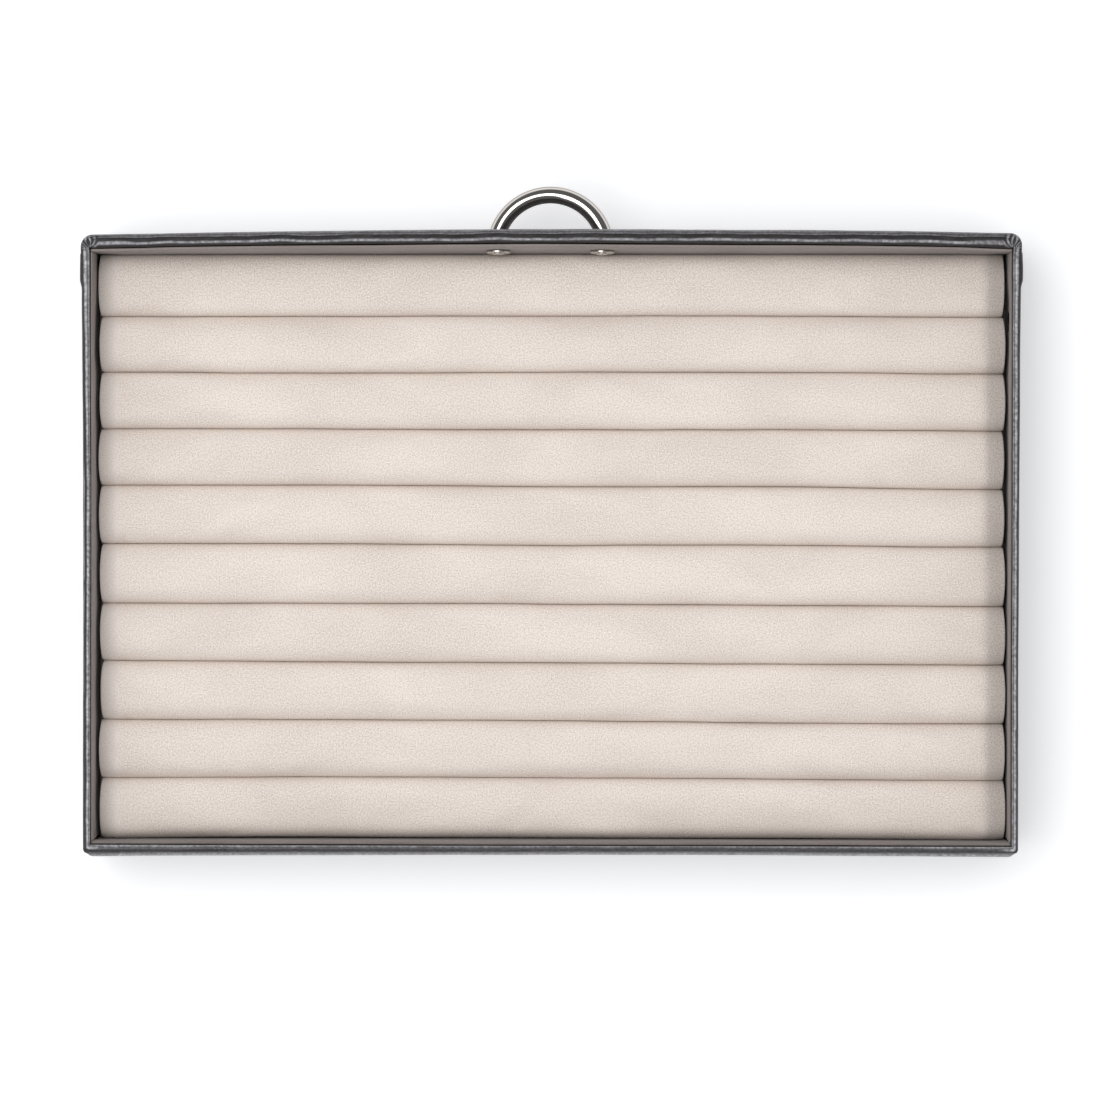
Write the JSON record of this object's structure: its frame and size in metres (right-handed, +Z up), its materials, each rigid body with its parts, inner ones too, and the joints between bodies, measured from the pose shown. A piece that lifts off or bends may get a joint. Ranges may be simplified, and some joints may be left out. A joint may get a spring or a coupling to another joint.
{
  "type": "ring case",
  "caption": "Open leather-covered tray with padded rolls that hold rings upright in the slots between them, and a fixed chrome bow pull on its front wall.",
  "frame": {"origin": "middle of the underside, halfway between the side walls and between the front wall's ends and the back wall, on the plane that the case stands on", "axes": "+X along the rolls, to the right for someone who looks at the front; +Y from the front, which has the pull, to the back; +Z up"},
  "size_m": [0.3414, 0.2426, 0.0465],
  "materials": {
    "board": "matte",
    "leather": "satin",
    "under_cloth": "matte",
    "lining": "matte",
    "suede": "matte",
    "foam": "matte",
    "chrome": "polished",
    "steel": "satin"
  },
  "bodies": {
    "root": {"base_board": "board", "front_board": "board", "back_board": "board", "left_board": "board", "right_board": "board", "front_cover": "leather", "body_cover": "leather", "base_cloth": "under_cloth", "front_lining": "lining", "back_lining": "lining", "left_lining": "lining", "right_lining": "lining", "floor_lining": "lining", "pad_board": "board", "ring_roll_01": "suede", "ring_roll_02": "suede", "ring_roll_03": "suede", "ring_roll_04": "suede", "ring_roll_05": "suede", "ring_roll_06": "suede", "ring_roll_07": "suede", "ring_roll_08": "suede", "ring_roll_09": "suede", "ring_roll_10": "suede", "roll_foam_01": "foam", "roll_foam_02": "foam", "roll_foam_03": "foam", "roll_foam_04": "foam", "roll_foam_05": "foam", "roll_foam_06": "foam", "roll_foam_07": "foam", "roll_foam_08": "foam", "roll_foam_09": "foam", "roll_foam_10": "foam", "handle_bow": "chrome", "handle_screw_left": "steel", "handle_screw_right": "steel", "washer_left": "steel", "washer_right": "steel"}
  },
  "joints": []
}
